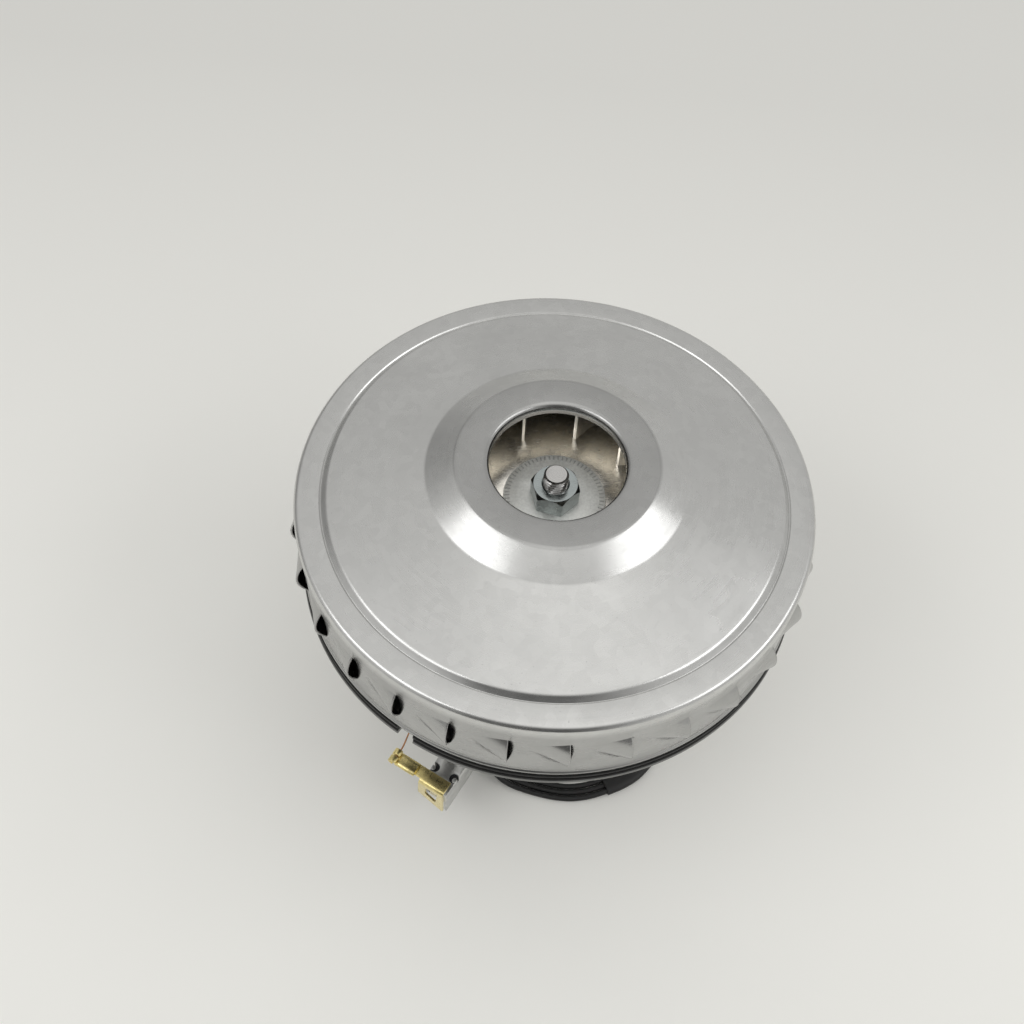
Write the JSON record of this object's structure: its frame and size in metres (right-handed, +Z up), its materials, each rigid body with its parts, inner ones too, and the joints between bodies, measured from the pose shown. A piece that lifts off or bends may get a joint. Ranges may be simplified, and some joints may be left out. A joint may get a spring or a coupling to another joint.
{
  "type": "vacuum motor unit",
  "caption": "Vacuum cleaner motor unit: a louvred sheet-metal fan cover with a round inlet on top of a brushed universal motor with side brush arms and short leads.",
  "frame": {"origin": "on the shaft's axis, at the underside of the lower frame's foot", "axes": "+Z up along the shaft, towards the inlet; the pictured brush arm points towards -Y and a little to -X"},
  "size_m": [0.1407, 0.1407, 0.119],
  "materials": {
    "cover_steel": "satin galvanised sheet",
    "seal_rubber": "satin black",
    "black_plastic": "matte moulded",
    "frame_steel": "galvanised sheet",
    "bright_steel": "turned and bright",
    "bearing_steel": "ground and polished",
    "fan_aluminium": "satin sheet",
    "nut_zinc": "blue zinc plated",
    "laminations": "lacquered sheet stack",
    "insulation": "pressed paper",
    "copper": "varnished copper",
    "commutator_resin": "moulded resin",
    "brass": "pressed strip",
    "carbon": "pressed carbon",
    "lead_black": "matte sheath",
    "connector_plastic": "moulded"
  },
  "bodies": {
    "root": {"fan_cover": "cover_steel", "seal_ring": "seal_rubber", "diffuser": "black_plastic", "upper_bracket": "frame_steel", "bearing_retainer": "frame_steel", "retainer_screws": "bright_steel", "upper_bearing_outer_ring": "bearing_steel", "upper_bearing_shields": "bright_steel", "lower_bearing_outer_ring": "bearing_steel", "lower_bearing_shields": "bright_steel", "wave_washer": "bright_steel", "stator_core": "laminations", "slot_liners": "insulation", "field_coil_left": "copper", "field_coil_right": "copper", "coil_wires": "copper", "stator_screws": "bright_steel", "stator_nuts": "nut_zinc", "lower_frame": "frame_steel", "brush_insulator_a": "black_plastic", "brush_insulator_b": "black_plastic", "brush_tube_a": "brass", "brush_tube_b": "brass", "brush_spring_a": "bright_steel", "brush_spring_b": "bright_steel", "brush_terminal_a": "brass", "brush_terminal_b": "brass", "lead_grommet": "lead_black", "lead_inner": "lead_black", "lead_middle": "lead_black", "lead_outer": "lead_black", "lead_sleeve": "lead_black", "lead_connector": "connector_plastic"},
    "rotor": {"shaft": "bright_steel", "armature_core": "laminations", "armature_end_discs": "insulation", "armature_winding": "copper", "shaft_collar": "bright_steel", "commutator_hub": "commutator_resin", "commutator_bars": "copper", "commutator_spacer": "bright_steel", "upper_bearing_inner_ring": "bearing_steel", "lower_bearing_inner_ring": "bearing_steel", "impeller_top_plate": "fan_aluminium", "impeller_blades": "fan_aluminium", "impeller_bottom_plate": "fan_aluminium", "impeller_spacer": "bright_steel", "impeller_lower_washer": "bright_steel", "impeller_upper_washer": "bright_steel", "impeller_nut": "nut_zinc"},
    "upper_cage": {"upper_bearing_cage": "brass", "upper_bearing_balls": "bearing_steel"},
    "lower_cage": {"lower_bearing_cage": "brass", "lower_bearing_balls": "bearing_steel"},
    "brush_a": {"carbon_brush_a": "carbon"},
    "brush_b": {"carbon_brush_b": "carbon"}
  },
  "joints": [
    {"name": "rotor_spin", "type": "hinge", "parent": "root", "child": "rotor", "pos_m": [0, 0, 0.05], "axis": [0, 0, 1], "continuous": true},
    {"name": "upper_cage_spin", "type": "hinge", "parent": "root", "child": "upper_cage", "pos_m": [0, 0, 0.0801], "axis": [0, 0, 1], "continuous": true},
    {"name": "lower_cage_spin", "type": "hinge", "parent": "root", "child": "lower_cage", "pos_m": [0, 0, 0.0051], "axis": [0, 0, 1], "continuous": true},
    {"name": "brush_a_slide", "type": "slide", "parent": "root", "child": "brush_a", "axis": [-0.4337, -0.9011, 0], "range_m": [0, 0.004], "stiffness_N_per_m": 200, "springref_m": -0.008, "deforming": ["brush_spring_a"]},
    {"name": "brush_b_slide", "type": "slide", "parent": "root", "child": "brush_b", "axis": [0.4337, 0.9011, 0], "range_m": [0, 0.004], "stiffness_N_per_m": 200, "springref_m": -0.008, "deforming": ["brush_spring_b"]}
  ],
  "couplings": [
    {"joint": "upper_cage_spin", "follows": "rotor_spin", "ratio": 0.368},
    {"joint": "lower_cage_spin", "follows": "rotor_spin", "ratio": 0.368}
  ]
}
